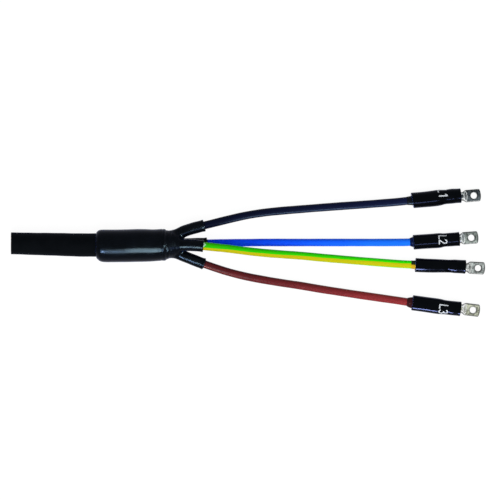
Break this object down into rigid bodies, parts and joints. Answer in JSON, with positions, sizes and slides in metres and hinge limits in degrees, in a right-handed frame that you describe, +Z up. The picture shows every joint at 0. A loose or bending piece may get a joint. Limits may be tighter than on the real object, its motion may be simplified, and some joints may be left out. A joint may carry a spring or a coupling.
{
  "type": "cable termination",
  "caption": "Power cable end with a heat-shrink breakout boot, fanned-out insulated cores and a sleeved tubular lug on each core, for bolting to terminals.",
  "frame": {"origin": "on the cable's axis, at the mouth of the breakout boot", "axes": "+X along the cable towards the lugs, +Z up from the bench that the termination lies on"},
  "size_m": [0.4649, 0.1262, 0.031],
  "materials": {
    "sheath": "satin black PVC",
    "filler": "matt filling compound",
    "boot": "semi-gloss black heat-shrink moulding",
    "sleeve": "semi-gloss black heat-shrink tube",
    "sealant": "dark hot-melt",
    "lug": "tinned copper",
    "conductor": "bare stranded copper",
    "insulation_l1": "smooth black insulation",
    "insulation_l2": "smooth blue insulation",
    "insulation_pe": "smooth green and yellow insulation",
    "insulation_l3": "smooth brown insulation"
  },
  "bodies": {
    "root": {"cable_sheath": "sheath", "cable_filler": "filler", "breakout_boot": "boot", "boot_sealant": "sealant", "conductor_l1": "conductor", "insulation_l1": "insulation_l1", "finger_sealant_l1": "sealant", "sleeve_sealant_l1": "sealant", "sleeve_l1": "sleeve", "lug_l1": "lug", "conductor_l2": "conductor", "insulation_l2": "insulation_l2", "finger_sealant_l2": "sealant", "sleeve_sealant_l2": "sealant", "sleeve_l2": "sleeve", "lug_l2": "lug", "conductor_pe": "conductor", "insulation_pe": "insulation_pe", "finger_sealant_pe": "sealant", "sleeve_sealant_pe": "sealant", "sleeve_pe": "sleeve", "lug_pe": "lug", "conductor_l3": "conductor", "insulation_l3": "insulation_l3", "finger_sealant_l3": "sealant", "sleeve_sealant_l3": "sealant", "sleeve_l3": "sleeve", "lug_l3": "lug"}
  },
  "joints": []
}
